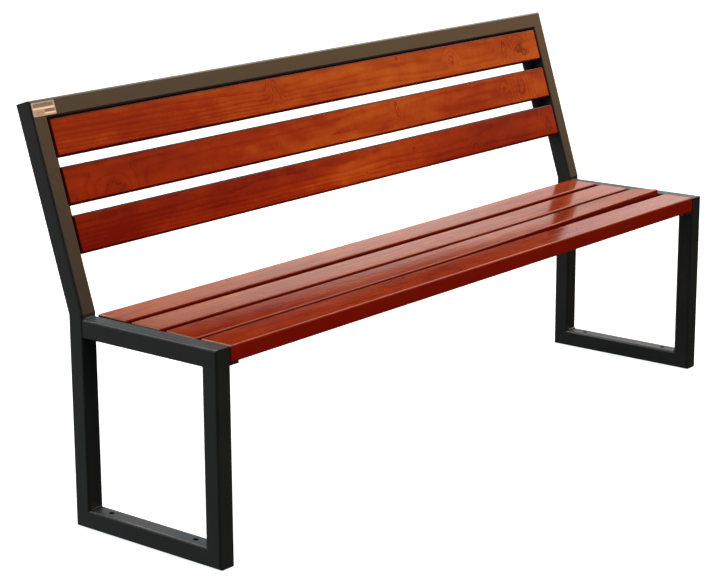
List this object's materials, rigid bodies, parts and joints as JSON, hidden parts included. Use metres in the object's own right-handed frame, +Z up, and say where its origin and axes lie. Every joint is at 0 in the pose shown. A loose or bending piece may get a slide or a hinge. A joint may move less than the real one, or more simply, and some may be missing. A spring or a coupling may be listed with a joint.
{
  "type": "park bench",
  "caption": "Free-standing park bench: painted square-tube end frames and top rail, with lengthwise timber slats on seat and leaning back.",
  "frame": {"origin": "on the ground under the middle of the bench's overall length and depth", "axes": "+X along the bench to the sitter's left, -Y is the front, +Z up"},
  "size_m": [1.8, 0.5342, 0.8734],
  "materials": {
    "frame_paint": "satin graphite powder coat",
    "slat_timber": "gloss reddish-brown wood stain",
    "zinc": "zinc plated",
    "foil": "satin foil, blank"
  },
  "bodies": {
    "root": {"left_front_leg": "frame_paint", "left_rear_leg": "frame_paint", "left_foot_rail": "frame_paint", "left_seat_rail": "frame_paint", "left_back_upright": "frame_paint", "right_front_leg": "frame_paint", "right_rear_leg": "frame_paint", "right_foot_rail": "frame_paint", "right_seat_rail": "frame_paint", "right_back_upright": "frame_paint", "top_rail": "frame_paint", "left_seat_flat": "frame_paint", "right_seat_flat": "frame_paint", "left_back_flat": "frame_paint", "right_back_flat": "frame_paint", "seat_slat_1": "slat_timber", "seat_slat_2": "slat_timber", "seat_slat_3": "slat_timber", "seat_slat_4": "slat_timber", "back_slat_1": "slat_timber", "back_slat_2": "slat_timber", "back_slat_3": "slat_timber", "left_seat_screws": "zinc", "right_seat_screws": "zinc", "left_back_screws": "zinc", "right_back_screws": "zinc", "left_seat_washers": "zinc", "right_seat_washers": "zinc", "left_back_washers": "zinc", "right_back_washers": "zinc", "corner_plate": "foil"}
  },
  "joints": []
}
